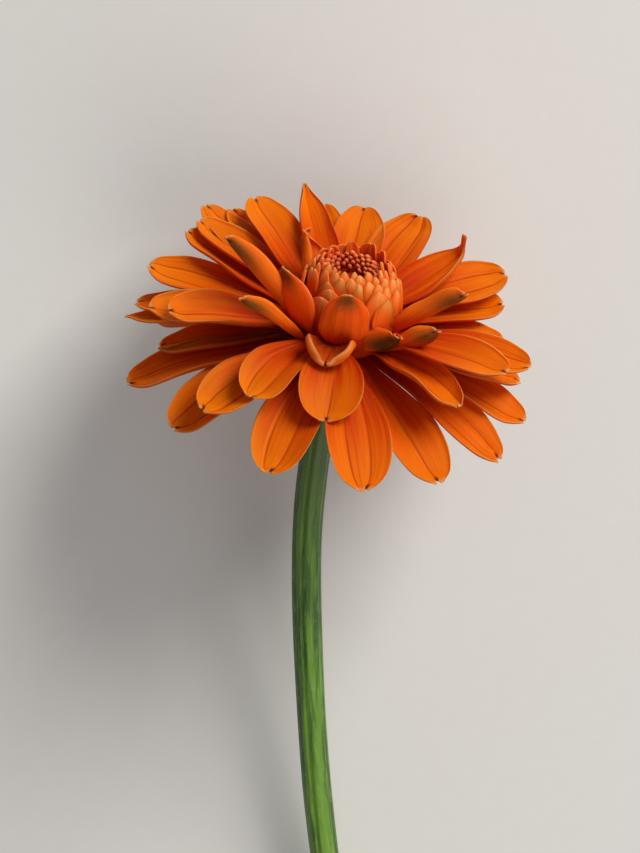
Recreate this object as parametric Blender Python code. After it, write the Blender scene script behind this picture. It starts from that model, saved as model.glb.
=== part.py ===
"""A single orange chrysanthemum on its cut stem, lying on a flat surface.

The bloom leans back on the tips of two ray florets and the stem rests on its
cut end, so the flower stands on three low points round its weight.  Lengths
are in millimetres until a mesh is made, angles in degrees.
"""
import math
import random

import bmesh
import bpy
from mathutils import Matrix, Vector

for old in list(bpy.data.objects):
    bpy.data.objects.remove(old)

# Units and clearance
MM = 0.001
GAP = 0.3
SLIVER = 0.000001

# How the head lies: its receptacle's place, and the turn of its axis
HEAD_CENTRE = Vector((1.8, 60.5, 33.3))
HEAD_NOD = 61.0
HEAD_LEAN = 8.0
HEAD_DIP = 10.0

# Stem
STEM_RADIUS = 2.8
STEM_NECK_RADIUS = 3.2
STEM_SIDES = 14
STEM_RINGS = 24
STEM_TOP_DEPTH = 9.3
STEM_NECK_SHARE = 1 / 6
STEM_KNOTS = (
    (-3.4, -19.5, -6.7),
    (-5.2, -38.0, -12.2),
    (-5.0, -62.0, -18.0),
    (-3.2, -92.0, -24.0),
    (0.2, -122.0, -28.4),
    (3.0, -146.0, -30.58),
)

# Bud: an egg beside the head's axis, which its florets close over
BUD_SIDE = 1.9
BUD_LEAN = 0.12
BUD_HEIGHT = 5.4
BUD_RADIUS = 9.2
BUD_RISE = 9.2
BUD_TOP = 49

# Receptacle inside the bloom: it fills the bud to a little under its florets
CORE_FOOT = ((-1.2, 6.2), (0.0, 7.2))
CORE_DEPTH = -0.2
CORE_RISES = (-28, -5, 15, 33, BUD_TOP)
CORE_SIDES = 24

# Ray florets.  A tier is where its claws leave the receptacle: radius, height
TIERS = ((6.2, -0.4), (6.4, 0.6), (6.5, 1.6), (6.5, 2.6), (6.4, 3.6), (6.2, 4.6))
RAY_THICKNESS = 0.8
ROOT_DEPTH = 1.0
CLAW_WIDTH = 0.30
WIDEST_AT = 0.64
RAY_STATIONS = (0.0, 0.3, 0.6, 0.86, 1.0)
RAY_COLUMNS = (-1.0, -0.36, 0.36, 1.0)
TIP_WIDTH = 0.4

# A floret's blade is flatter at its claw and has its full cupping at FULL_CUP
# of its length.  Its curl across is never tighter than the least radius.
CLAW_CUP = 0.35
FULL_CUP = 0.6
LEAST_CURL_RADIUS = 1.1

# Each ray: azimuth from the upper side, rise of its tip over the disc plane,
# reach from the bloom's centre, width, bend along it, cupping across it,
# tier and twist.
RAYS = (
    # Outer whorl, over the sides and the front, drooping
    (-81, -19, 37.5, 10.5, -15, 45, 0, -10),
    (-60, -26, 33.0, 12.0, -20, 35, 0, -15),
    (-16, -25, 31.5, 11.5, -35, 25, 0, 0),
    (15, -20, 34.5, 12.0, -18, 25, 0, 0),
    (40, -22, 34.0, 11.0, -18, 25, 0, 10),
    (63, -19, 36.0, 10.5, -25, 40, 0, 10),
    (79, -13, 36.0, 10.0, -20, 40, 0, 10),
    (86, -5, 33.0, 9.0, -15, 35, 1, 5),
    (-90, -13, 31.5, 9.5, -15, 30, 1, -5),
    (-98, -7, 38.5, 8.5, -15, 30, 2, -10),
    # Outer whorl, underside
    (98, -11, 34.5, 8.5, -18, 30, 0, 0),
    (112, -15, 35.5, 9.0, -20, 30, 0, 0),
    (126, -17, 35.5, 9.0, -20, 30, 0, 0),
    (139, -19, 35.0, 9.0, -20, 30, 0, 0),
    (165, -18, 31.5, 9.0, -22, 30, 0, 0),
    (179, -20, 30.5, 9.0, -25, 30, 0, 0),
    (-166, -18, 31.5, 9.0, -22, 30, 0, 0),
    (-139, -19, 35.0, 9.0, -20, 30, 0, 0),
    (-126, -17, 35.5, 9.0, -20, 30, 0, 0),
    (-112, -14, 35.5, 9.0, -18, 30, 0, 0),
    # Second whorl
    (-153, 13, 34.0, 8.5, -10, 30, 2, 0),
    (-139, 16, 35.5, 8.5, -10, 30, 3, 0),
    (-131, 16, 38.0, 9.0, -10, 30, 2, 0),
    (-118, 15, 34.5, 9.0, -10, 30, 2, 0),
    (-106, 6, 36.5, 10.0, -8, 30, 3, -18),
    (-101, -4, 37.0, 8.5, -15, 30, 3, -10),
    (-81, 5, 33.5, 10.0, -15, 40, 2, -15),
    (-46, -15, 29.5, 11.5, -18, 35, 1, -10),
    (77, 5, 34.8, 10.5, -18, 40, 2, 15),
    (94, 5, 29.5, 9.5, -15, 35, 2, 5),
    (108, -1, 29.5, 9.0, -10, 35, 1, 0),
    (108, 12, 30.8, 10.0, -12, 35, 3, 15),
    (126, 8, 32.5, 9.0, -12, 35, 2, 0),
    (141, 9, 29.5, 9.0, -12, 35, 2, 0),
    (167, 14, 31.5, 9.0, -12, 35, 2, 0),
    (-170, 21, 32.5, 8.5, -8, 35, 2, 0),
    # Third whorl
    (-162, 28, 34.0, 8.5, -10, 70, 4, 0),
    (-144, 23, 34.0, 10.0, -8, 35, 4, 0),
    (-124, 17, 34.5, 9.5, -10, 35, 4, 0),
    (-74, 9, 31.0, 10.5, -18, 40, 3, -15),
    (-34, -8, 24.0, 10.5, -40, 35, 2, -10),
    (1, -13, 22.0, 12.0, -60, 35, 2, 0),
    (50, 0, 29.5, 9.0, -20, 70, 2, 15),
    (64, 8, 33.0, 10.5, -20, 35, 3, 10),
    (114, 18, 33.2, 11.0, -12, 30, 4, 18),
    (157, 23, 33.0, 11.0, -8, 30, 3, 0),
    (176, 24, 31.5, 10.0, -8, 30, 3, 0),
    # Quilled rays, rolled into boats, and the spoon that faces up
    (-69, 42, 30.0, 7.5, -5, 120, 1, 40),
    (-50, 29, 25.0, 5.6, -5, 130, 0, 40),
    (-3, 10, 15.5, 12.0, 10, 85, 3, 0),
    (59, 25, 22.0, 7.5, 45, 110, 1, -45),
    (74, 34, 26.4, 8.0, 5, 110, 1, -45),
    (123, 29, 28.5, 9.0, 30, 60, 5, 15),
    (-134, 52, 20.5, 6.2, 15, 110, 5, 30),
    (44, 27, 16.8, 9.8, 40, 110, 1, -45),
)

# Short rays that close round the bud, which bud florets make room for: within
# an angle of them, up to a share of the way from the lowest to the highest
SHORT_RAYS = (
    (-62, 53, 18.6, 12.5, 75, 60, 3, 10),
    (8, 56, 16.2, 9.4, 90, 34, 2, 0),
)
SHORT_RAY_ROOM = (26, 0.5)

# The two rays whose tips meet the surface
RESTING_AZIMUTHS = (152, -152)
RESTING_RISE = -20
RESTING_WIDTH = 9.5
RESTING_BEND = -20
RESTING_CUP = 30
RESTING_STEPS = 5

# Incurved florets that close the bud, on a golden-angle spiral.  Pairs give
# the lowest and the highest floret; rises are angles on the bud's egg.  On
# the high side they stand open, with longer tips, and on the other they close.
GOLDEN_ANGLE = 137.508
BUD_FLORETS = 38
BUD_WIDTHS = (8.2, 4.0)
BUD_ROOT_RISES = (-8, 46)
BUD_SPANS = (44, 26)
BUD_ROOT_DEPTH = -1.3
BUD_TIP_LIFTS = (1.3, 1.0)
BUD_HIGH_SIDE = 165
BUD_HIGH_LIFT = 3.2
BUD_OPENING = 15
BUD_CUP = 30
BUD_THICKNESS = 0.9
BUD_STATIONS = (0.0, 0.55, 1.0)
BUD_COLUMNS = (-1.0, 0.0, 1.0)

# Centre florets, closed knobs on a small cushion round a pit.  The knob's
# profile is height along it and share of its radius; pairs of heights and
# radii go from the innermost knob to the outermost.
KNOBS = 30
KNOB_RADIUS = 0.6
KNOB_SIDES = 4
KNOB_PROFILE = ((0.0, 0.8), (0.6, 1.0), (1.0, 0.45))
KNOB_FOOT = 0.3
KNOB_TOPS = (1.2, 1.7)
KNOB_UNEVEN = 0.1
KNOB_RING_RADII = (1.0, 3.1)
CUSHION_SIDES = 16
CUSHION = ((0.0, 3.5), (0.5, 3.6), (0.8, 2.9), (0.7, 1.5), (0.4, 0.7))

# Involucre: a green cup and its three rows of bracts, count, root and tip
CUP = ((-9.0, 3.2), (-7.6, 4.6), (-5.6, 6.2), (-3.6, 7.1), (-1.6, 7.0))
BRACT_ROWS = (
    (7, (4.0, -8.2), (6.9, -5.1), 3.8),
    (8, (5.4, -6.8), (8.1, -3.5), 4.2),
    (9, (6.4, -5.0), (8.3, -2.4), 4.2),
)
BRACT_THICKNESS = 0.7
BRACT_BEND = 30
BRACT_CUP = 35
BRACT_STATIONS = (0.0, 0.55, 1.0)

random.seed(11)


def blend(a, b, t):
    """The value that lies a share t of the way from a to b."""
    return a + (b - a) * t


def turned(azimuth, radius, height):
    """A point of the head by azimuth, radius and height over the disc plane."""
    angle = math.radians(azimuth)
    return Vector((radius * math.sin(angle), -radius * math.cos(angle), height))


def head_turn():
    """The rotation from the head's own axes to the lying flower."""
    dip = Matrix.Rotation(math.radians(-HEAD_DIP), 3, "X")
    lean = Matrix.Rotation(math.radians(-HEAD_LEAN), 3, "Z")
    nod = Matrix.Rotation(math.radians(-HEAD_NOD), 3, "X")
    return dip @ lean @ nod


def place_head(point):
    """A point of the head, laid down with it."""
    return HEAD_CENTRE + head_turn() @ point


def bud_side(height):
    """How far beside the head's axis the bud's middle stands at a height."""
    return BUD_SIDE - BUD_LEAN * max(0.0, height - BUD_HEIGHT)


def beside(rows):
    """A bud floret's rows, moved with the bud."""
    return [[(p + Vector((bud_side(p.z), 0.0, 0.0)), n) for p, n in row] for row in rows]


def petal_width(u):
    """Share of the full width at u along a floret: claw, blade, round tip."""
    if u < WIDEST_AT:
        t = u / WIDEST_AT
        return blend(CLAW_WIDTH, 1.0, t * t * (3 - 2 * t))
    t = (u - WIDEST_AT) / (1 - WIDEST_AT)
    return max(TIP_WIDTH, (1 - t ** 2.5) ** 0.5)


def arc_between(root, tip, bend, u):
    """Radius, height and slope at u on an arc that turns by bend degrees."""
    run = tip[0] - root[0]
    climb = tip[1] - root[1]
    turn = math.radians(bend)
    start = math.atan2(climb, run) - turn / 2
    radius = math.hypot(run, climb) / 2 / math.sin(turn / 2)
    now = start + turn * u
    return (
        root[0] + radius * (math.sin(now) - math.sin(start)),
        root[1] - radius * (math.cos(now) - math.cos(start)),
        now,
    )


def floret(azimuth, root, tip, width, bend, cup, twist, stations, columns):
    """Rows of middle points and normals of one floret, from claw to tip."""
    angle = math.radians(azimuth)
    outward = Vector((math.sin(angle), -math.cos(angle), 0.0))
    side = Vector((math.cos(angle), math.sin(angle), 0.0))
    axis = Vector((0.0, 0.0, 1.0))
    rows = []
    for u in stations:
        radius, height, slope = arc_between(root, tip, bend, u)
        upper = axis * math.cos(slope) - outward * math.sin(slope)
        half = width / 2 * petal_width(u)
        fold = math.radians(cup) * min(1.0, blend(CLAW_CUP, 1.0, u / FULL_CUP))
        fold = min(fold, half / LEAST_CURL_RADIUS)
        roll = math.radians(twist) * u
        across = side * math.cos(roll) + upper * math.sin(roll)
        upper = upper * math.cos(roll) - side * math.sin(roll)
        row = []
        for v in columns:
            point = outward * radius + axis * height
            point += across * (half / fold * math.sin(fold * v))
            point += upper * (half / fold * (1 - math.cos(fold * v)))
            normal = upper * math.cos(fold * v) - across * math.sin(fold * v)
            row.append((point, normal))
        rows.append(row)
    return rows


def blade(name, rows, thickness):
    """A closed solid of even thickness about a floret's rows, as an object."""
    mesh = bmesh.new()
    top = []
    low = []
    for row in rows:
        top.append([mesh.verts.new(place_head(p + n * thickness / 2) * MM) for p, n in row])
        low.append([mesh.verts.new(place_head(p - n * thickness / 2) * MM) for p, n in row])
    last = len(rows) - 1
    edge = len(rows[0]) - 1
    for i in range(last):
        for j in range(edge):
            upper = (top[i][j], top[i][j + 1], top[i + 1][j + 1], top[i + 1][j])
            lower = (low[i][j], low[i][j + 1], low[i + 1][j + 1], low[i + 1][j])
            mesh.faces.new((upper[0], upper[1], upper[2]))
            mesh.faces.new((upper[0], upper[2], upper[3]))
            mesh.faces.new((lower[2], lower[1], lower[0]))
            mesh.faces.new((lower[3], lower[2], lower[0]))
        mesh.faces.new((top[i][0], top[i + 1][0], low[i + 1][0], low[i][0]))
        mesh.faces.new((top[i + 1][edge], top[i][edge], low[i][edge], low[i + 1][edge]))
    for i, flip in ((0, False), (last, True)):
        for j in range(edge):
            corners = (top[i][j], low[i][j], low[i][j + 1], top[i][j + 1])
            mesh.faces.new(corners[::-1] if flip else corners)
    bmesh.ops.recalc_face_normals(mesh, faces=mesh.faces)
    return finish(name, mesh)


def turned_solid(name, profile, sides):
    """A closed solid of rings round the head's axis: height, radius and side."""
    mesh = bmesh.new()
    rings = []
    for height, radius, side in profile:
        middle = Vector((side, 0.0, 0.0))
        rings.append([
            mesh.verts.new(place_head(turned(360 * k / sides, radius, height) + middle) * MM)
            for k in range(sides)
        ])
    for low, high in zip(rings, rings[1:]):
        for k in range(sides):
            after = (k + 1) % sides
            mesh.faces.new((low[k], low[after], high[after], high[k]))
    mesh.faces.new(rings[0][::-1])
    mesh.faces.new(rings[-1])
    bmesh.ops.recalc_face_normals(mesh, faces=mesh.faces)
    return finish(name, mesh)


def finish(name, mesh):
    """An object of that name holding the mesh, in the scene."""
    data = bpy.data.meshes.new(name)
    mesh.to_mesh(data)
    mesh.free()
    piece = bpy.data.objects.new(name, data)
    bpy.context.collection.objects.link(piece)
    return piece


def paint(piece, name, colour, roughness):
    """Gives a piece its material."""
    material = bpy.data.materials.new(name)
    material.use_nodes = True
    shader = material.node_tree.nodes["Principled BSDF"]
    shader.inputs["Base Color"].default_value = (*colour, 1.0)
    shader.inputs["Roughness"].default_value = roughness
    material.diffuse_color = (*colour, 1.0)
    piece.data.materials.clear()
    piece.data.materials.append(material)


def fuse(piece, repeats):
    """Joins what grows from a piece to it, in one Boolean union."""
    group = bpy.data.collections.new(piece.name + "_repeats")
    bpy.context.scene.collection.children.link(group)
    for repeat in repeats:
        bpy.context.collection.objects.unlink(repeat)
        group.objects.link(repeat)
    union = piece.modifiers.new("union", "BOOLEAN")
    union.operation = "UNION"
    union.operand_type = "COLLECTION"
    union.collection = group
    union.solver = "EXACT"
    bpy.context.view_layer.update()
    view = bpy.context.evaluated_depsgraph_get()
    fused = bpy.data.meshes.new_from_object(piece.evaluated_get(view))
    piece.modifiers.clear()
    piece.data = fused
    for repeat in repeats:
        bpy.data.objects.remove(repeat)
    bpy.data.collections.remove(group)
    keep_outer_shell(piece.data)


def keep_outer_shell(data):
    """Fills the hollows that fusing has sealed and drops loose scraps."""
    mesh = bmesh.new()
    mesh.from_mesh(data)
    bmesh.ops.remove_doubles(mesh, verts=mesh.verts, dist=SLIVER)
    unseen = set(mesh.faces)
    shells = []
    while unseen:
        shell = {unseen.pop()}
        rim = set(shell)
        while rim:
            seams = {e for f in rim for e in f.edges if len(e.link_faces) == 2}
            rim = {f for e in seams for f in e.link_faces} - shell
            shell |= rim
        unseen -= shell
        shells.append(shell)
    shells.sort(key=len)
    for shell in shells[:-1]:
        bmesh.ops.delete(mesh, geom=list(shell), context="FACES")
    mesh.to_mesh(data)
    mesh.free()


def stem_point(t):
    """The stem's middle line at t from 0 under the head to 1 at the cut."""
    turn = head_turn()
    neck = turn @ Vector((0.0, 0.0, -STEM_TOP_DEPTH))
    above = turn @ Vector((0.0, 0.0, -STEM_TOP_DEPTH / 2))
    knots = [above, neck] + [Vector(k) for k in STEM_KNOTS]
    knots.append(knots[-1] * 2 - knots[-2])
    place = t * (len(knots) - 3)
    i = min(int(place), len(knots) - 4)
    s = place - i
    a, b, c, d = knots[i:i + 4]
    return HEAD_CENTRE + (
        b * 2
        + (c - a) * s
        + (a * 2 - b * 5 + c * 4 - d) * s ** 2
        + (b * 3 - a - c * 3 + d) * s ** 3
    ) / 2


def make_stem():
    """The cut stem: a bowed green rod, cut square, a little wider at the neck."""
    mesh = bmesh.new()
    rings = []
    for i in range(STEM_RINGS + 1):
        t = i / STEM_RINGS
        if i == 0:
            along = head_turn() @ Vector((0.0, 0.0, -1.0))
        else:
            along = stem_point(t) - stem_point(t - 0.5 / STEM_RINGS)
        along.normalize()
        side = along.cross(Vector((0.0, 0.0, 1.0))).normalized()
        up = side.cross(along)
        radius = blend(STEM_NECK_RADIUS, STEM_RADIUS, min(1.0, t / STEM_NECK_SHARE))
        rings.append([
            mesh.verts.new((
                stem_point(t)
                + side * (radius * math.cos(2 * math.pi * k / STEM_SIDES))
                + up * (radius * math.sin(2 * math.pi * k / STEM_SIDES))
            ) * MM)
            for k in range(STEM_SIDES)
        ])
    for first, second in zip(rings, rings[1:]):
        for k in range(STEM_SIDES):
            after = (k + 1) % STEM_SIDES
            mesh.faces.new((first[k], first[after], second[after], second[k]))
    mesh.faces.new(rings[0])
    mesh.faces.new(rings[-1][::-1])
    bmesh.ops.recalc_face_normals(mesh, faces=mesh.faces)
    piece = finish("stem", mesh)
    paint(piece, "stem_green", (0.10, 0.24, 0.04), 0.55)


def make_involucre():
    """The green cup under the bloom, with its overlapping bracts."""
    profile = [(height, radius, 0.0) for height, radius in CUP]
    cup = turned_solid("involucre", profile, CORE_SIDES)
    bracts = []
    for row, (count, root, tip, width) in enumerate(BRACT_ROWS):
        for k in range(count):
            azimuth = 360 * (k + row / len(BRACT_ROWS)) / count
            rows = floret(azimuth, root, tip, width, BRACT_BEND, BRACT_CUP, 0,
                          BRACT_STATIONS, BUD_COLUMNS)
            bracts.append(blade("bract", rows, BRACT_THICKNESS))
    fuse(cup, bracts)
    paint(cup, "involucre_green", (0.09, 0.17, 0.05), 0.6)


def bud_point(rise, lift):
    """Radius and height at an angle on the bud's egg, lifted off it."""
    angle = math.radians(rise)
    return (
        (BUD_RADIUS + lift) * math.cos(angle),
        BUD_HEIGHT + (BUD_RISE + lift) * math.sin(angle),
    )


def bloom_core():
    """The receptacle's rings, from its foot on the axis to its flat top."""
    profile = [(height, radius, 0.0) for height, radius in CORE_FOOT]
    for rise in CORE_RISES:
        radius, height = bud_point(rise, CORE_DEPTH)
        profile.append((height, radius, bud_side(height)))
    return profile


def resting_ray(azimuth):
    """A ray long enough for its tip just to meet the surface."""
    reach = HEAD_CENTRE.z
    for _ in range(RESTING_STEPS):
        ray = (azimuth, RESTING_RISE, reach, RESTING_WIDTH, RESTING_BEND, RESTING_CUP, 0, 0)
        tip = ray_rows(*ray)[-1]
        reach += min(place_head(p - n * RAY_THICKNESS / 2).z for p, n in tip)
    return ray


def ray_rows(azimuth, rise, reach, width, bend, cup, tier, twist):
    """A spread ray's rows, from its place in the receptacle to its tip."""
    radius, height = TIERS[tier]
    angle = math.radians(rise)
    tip = (reach * math.cos(angle), reach * math.sin(angle))
    return floret(azimuth, (radius - ROOT_DEPTH, height), tip, width, bend, cup, twist,
                  RAY_STATIONS, RAY_COLUMNS)


def crowded(azimuth):
    """Whether a short ray stands close to that azimuth."""
    room = math.cos(math.radians(SHORT_RAY_ROOM[0]))
    return any(math.cos(math.radians(azimuth - ray[0])) > room for ray in SHORT_RAYS)


def make_ray_florets():
    """The orange rays and the incurved florets of the bud, on the receptacle."""
    core = turned_solid("ray_florets", bloom_core(), CORE_SIDES)
    rays = list(RAYS + SHORT_RAYS) + [resting_ray(azimuth) for azimuth in RESTING_AZIMUTHS]
    petals = [blade("ray", ray_rows(*ray), RAY_THICKNESS) for ray in rays]
    for k in range(BUD_FLORETS):
        t = k / (BUD_FLORETS - 1)
        low = blend(*BUD_ROOT_RISES, t)
        if t < SHORT_RAY_ROOM[1] and crowded(k * GOLDEN_ANGLE):
            continue
        high = math.cos(math.radians(k * GOLDEN_ANGLE - BUD_HIGH_SIDE) / 2) ** 4
        span = blend(*BUD_SPANS, t) - BUD_OPENING * high * t
        root = bud_point(low, BUD_ROOT_DEPTH)
        tip = bud_point(low + span, blend(*BUD_TIP_LIFTS, t) + BUD_HIGH_LIFT * high * t)
        rows = floret(k * GOLDEN_ANGLE, root, tip, blend(*BUD_WIDTHS, t), span, BUD_CUP, 0,
                      BUD_STATIONS, BUD_COLUMNS)
        petals.append(blade("bud_floret", beside(rows), BUD_THICKNESS))
    fuse(core, petals)
    paint(core, "ray_orange", (0.86, 0.22, 0.02), 0.5)


def make_centre_florets():
    """The closed red-brown florets in the middle, on their cushion."""
    base = bud_point(BUD_TOP, CORE_DEPTH)[1] + GAP
    profile = [(base + rise, radius, bud_side(base)) for rise, radius in CUSHION]
    cushion = turned_solid("centre_florets", profile, CUSHION_SIDES)
    knobs = []
    for k in range(KNOBS):
        share = math.sqrt((k + 0.5) / KNOBS)
        foot = base + KNOB_FOOT
        top = base + blend(*KNOB_TOPS, share ** 2) + random.uniform(-KNOB_UNEVEN, KNOB_UNEVEN)
        centre = turned(k * GOLDEN_ANGLE, blend(*KNOB_RING_RADII, share), 0.0)
        centre.x += bud_side(base)
        mesh = bmesh.new()
        rings = []
        for along, size in KNOB_PROFILE:
            ring = []
            for s in range(KNOB_SIDES):
                turn = 2 * math.pi * s / KNOB_SIDES
                offset = Vector((math.cos(turn), math.sin(turn), 0.0)) * KNOB_RADIUS * size
                point = centre + offset + Vector((0.0, 0.0, blend(foot, top, along)))
                ring.append(mesh.verts.new(place_head(point) * MM))
            rings.append(ring)
        for low, high in zip(rings, rings[1:]):
            for s in range(KNOB_SIDES):
                after = (s + 1) % KNOB_SIDES
                mesh.faces.new((low[s], low[after], high[after], high[s]))
        mesh.faces.new(rings[0][::-1])
        mesh.faces.new(rings[-1])
        bmesh.ops.recalc_face_normals(mesh, faces=mesh.faces)
        knobs.append(finish("knob", mesh))
    fuse(cushion, knobs)
    paint(cushion, "centre_red_brown", (0.40, 0.06, 0.02), 0.6)


make_stem()
make_involucre()
make_ray_florets()
make_centre_florets()
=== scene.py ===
"""An orange chrysanthemum on its cut stem, lying on a pale table.

Lengths are in millimetres until a mesh is made, angles in degrees.
"""
import math

import bpy
import numpy as np
from mathutils import Matrix, Vector


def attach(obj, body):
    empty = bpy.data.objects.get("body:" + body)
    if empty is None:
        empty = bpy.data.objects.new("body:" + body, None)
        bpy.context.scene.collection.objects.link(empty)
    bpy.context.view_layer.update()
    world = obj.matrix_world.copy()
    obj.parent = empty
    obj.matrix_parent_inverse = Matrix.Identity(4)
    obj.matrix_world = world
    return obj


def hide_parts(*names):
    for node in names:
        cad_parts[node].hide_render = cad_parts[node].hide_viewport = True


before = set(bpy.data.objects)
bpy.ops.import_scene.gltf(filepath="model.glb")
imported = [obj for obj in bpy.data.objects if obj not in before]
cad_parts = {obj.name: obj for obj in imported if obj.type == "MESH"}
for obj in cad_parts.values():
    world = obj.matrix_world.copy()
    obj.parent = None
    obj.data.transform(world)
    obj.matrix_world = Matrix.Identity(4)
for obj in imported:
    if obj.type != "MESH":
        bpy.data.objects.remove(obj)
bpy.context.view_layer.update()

# Stem
# A round green shoot, full of water under a thin waxy skin, with fine ribs along
# it and short pale hairs.  It grew as one piece with the head that it carries.
MM = 0.001
HEAD_CENTRE = np.array((1.8, 60.5, 33.3))
HEAD_NOD = 61.0
HEAD_LEAN = 8.0
HEAD_DIP = 10.0
STEM_RADIUS = 2.8
STEM_NECK_RADIUS = 3.2
STEM_NECK_SHARE = 1 / 6
STEM_TOP_DEPTH = 9.3
STEM_KNOTS = (
    (-3.4, -19.5, -6.7),
    (-5.2, -38.0, -12.2),
    (-5.0, -62.0, -18.0),
    (-3.2, -92.0, -24.0),
    (0.2, -122.0, -28.4),
    (3.0, -146.0, -30.58),
)
STEM_SIDES = 112
STEM_RINGS = 240
STEM_STEP = 0.002
CUT_RINGS = 5
CUT_MIDDLE = 0.2
CUT_DISH = 0.35
# Ribs round the stem, by number, and slow swells along it, by radians over its
# length.  Their heights are shares of the radius.
RIBS = (9, 14)
RIB_HEIGHTS = (0.030, 0.018)
RIB_TWIST = 1.5
RIB_BASE = 0.965
SWELL_TURNS = (9, 31)
SWELL_HEIGHTS = (0.012, 0.008)
# Patterns in the skin, per millimetre round it and along it: streaks a third of a
# millimetre wide and ten times as long, broad patches, and specks
STREAKS_PER_MM = (3.0, 0.3)
PATCHES_PER_MM = (0.55, 0.055)
SPECKS_PER_MM = (5.0, 5.0)
HAIRS = 900
HAIR_SPAN = (0.04, 0.995)
HAIR_LENGTHS = (0.25, 0.75)
HAIR_RADIUS = 0.028
HAIR_TAPER = 0.7
HAIR_SINK = 0.05
HAIR_RISE = 0.8
HAIR_BEND = 0.35
HAIR_LEANS_ALONG = (-0.9, 0.3)
HAIR_LEANS_ROUND = (-0.4, 0.4)
HAIR_SHADES_PER_MM = 0.9
# A mix node's sockets for colours, which share their names with others: the share,
# the colour underneath, the colour over it and the result
MIX_SHARE, MIX_UNDER, MIX_OVER, MIX_RESULT = 0, 6, 7, 2

draw = np.random.default_rng(11)


def between(low, high):
    """A seeded draw between two limits."""
    return float(draw.uniform(low, high))


def linear(colour):
    """An sRGB hex colour as the linear values that a shader takes."""
    parts = [int(colour[i:i + 2], 16) / 255 for i in (1, 3, 5)]
    return (*[c / 12.92 if c <= 0.04045 else ((c + 0.055) / 1.055) ** 2.4 for c in parts], 1.0)


def node(material, kind, settings, output=0):
    """Adds a node with its settings and links, and gives back one of its outputs.

    A setting goes to the node's own property of that name, or else to the input of
    that name or number.  Where the setting is a socket, it is linked to the input.
    """
    tree = material.node_tree
    made = tree.nodes.new(kind)
    for key, value in settings.items():
        if isinstance(value, bpy.types.NodeSocket):
            tree.links.new(value, made.inputs[key])
        elif isinstance(key, str) and hasattr(made, key):
            setattr(made, key, value)
        else:
            made.inputs[key].default_value = value
    return made.outputs[output] if made.outputs else None


def new_material(name):
    """An empty node material of that name."""
    material = bpy.data.materials.new(name)
    material.use_nodes = True
    material.node_tree.nodes.clear()
    return material


def cover(material, *steps):
    """How much of something covers the surface: the product of smooth steps.

    Each step is a socket, its value where there is nothing, its value where there is
    all of it, and how much all of it is.
    """
    share = None
    for source, none_at, all_at, amount in steps:
        step = node(material, "ShaderNodeMapRange", {
            "interpolation_type": "SMOOTHSTEP",
            "Value": source,
            "From Min": none_at,
            "From Max": all_at,
            "To Max": amount,
        })
        share = step if share is None else node(material, "ShaderNodeMath", {
            "operation": "MULTIPLY", 0: share, 1: step,
        })
    return share


def overlay(material, tone, colour, *steps, way="MIX"):
    """Lays a hex colour over a tone, by the cover that the steps give."""
    return node(material, "ShaderNodeMix", {
        "data_type": "RGBA",
        "blend_type": way,
        MIX_SHARE: cover(material, *steps),
        MIX_UNDER: tone,
        MIX_OVER: linear(colour),
    }, MIX_RESULT)


def drawn_out(material, place, scale, detail, roughness):
    """A grain that is drawn out, with a scale of its own in each direction."""
    spread = node(material, "ShaderNodeVectorMath", {"operation": "MULTIPLY", 0: place, 1: scale})
    return node(material, "ShaderNodeTexNoise", {
        "Vector": spread,
        "Scale": 1.0,
        "Detail": detail,
        "Roughness": roughness,
    })


def blend(a, b, t):
    """The value that lies a share t of the way from a to b."""
    return a + (b - a) * t


def ease(value, low, high):
    """A smooth step from 0 at low to 1 at high."""
    t = np.clip((value - low) / (high - low), 0.0, 1.0)
    return t * t * (3 - 2 * t)


def head_turn():
    """The rotation from the head's own axes to the lying flower."""
    dip = Matrix.Rotation(math.radians(-HEAD_DIP), 3, "X")
    lean = Matrix.Rotation(math.radians(-HEAD_LEAN), 3, "Z")
    nod = Matrix.Rotation(math.radians(-HEAD_NOD), 3, "X")
    return np.array(dip @ lean @ nod)


def place_head(points):
    """Points of the head, laid down with it."""
    return HEAD_CENTRE + points @ head_turn().T


def stem_point(t):
    """The stem's middle line at t from 0 under the head to 1 at the cut."""
    neck = head_turn() @ (0.0, 0.0, -STEM_TOP_DEPTH)
    knots = [neck / 2, neck, *np.array(STEM_KNOTS)]
    knots.append(knots[-1] * 2 - knots[-2])
    place = t * (len(knots) - 3)
    i = min(int(place), len(knots) - 4)
    s = place - i
    a, b, c, d = knots[i:i + 4]
    return HEAD_CENTRE + (
        b * 2
        + (c - a) * s
        + (a * 2 - b * 5 + c * 4 - d) * s ** 2
        + (b * 3 - a - c * 3 + d) * s ** 3
    ) / 2


def stem_axes(t):
    """The stem's own directions at t: along it, to its side and up."""
    start = min(max(t, STEM_STEP), 1.0)
    along = stem_point(start) - stem_point(start - STEM_STEP)
    along /= np.linalg.norm(along)
    side = np.cross(along, (0.0, 0.0, 1.0))
    side /= np.linalg.norm(side)
    return along, side, np.cross(side, along)


def stem_radius(t, angle):
    """The ribbed stem's radius at t along it and an angle round it."""
    wave = sum(
        height * np.cos(ribs * angle + RIB_TWIST * t * (k + 1) + math.pi)
        for k, (ribs, height) in enumerate(zip(RIBS, RIB_HEIGHTS))
    )
    swell = (
        SWELL_HEIGHTS[0] * np.sin(SWELL_TURNS[0] * t + np.cos(angle))
        + SWELL_HEIGHTS[1] * np.sin(SWELL_TURNS[1] * t + 2 * np.sin(angle))
    )
    plain = blend(STEM_NECK_RADIUS, STEM_RADIUS, min(1.0, t / STEM_NECK_SHARE))
    return plain * (RIB_BASE + wave + swell)


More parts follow.
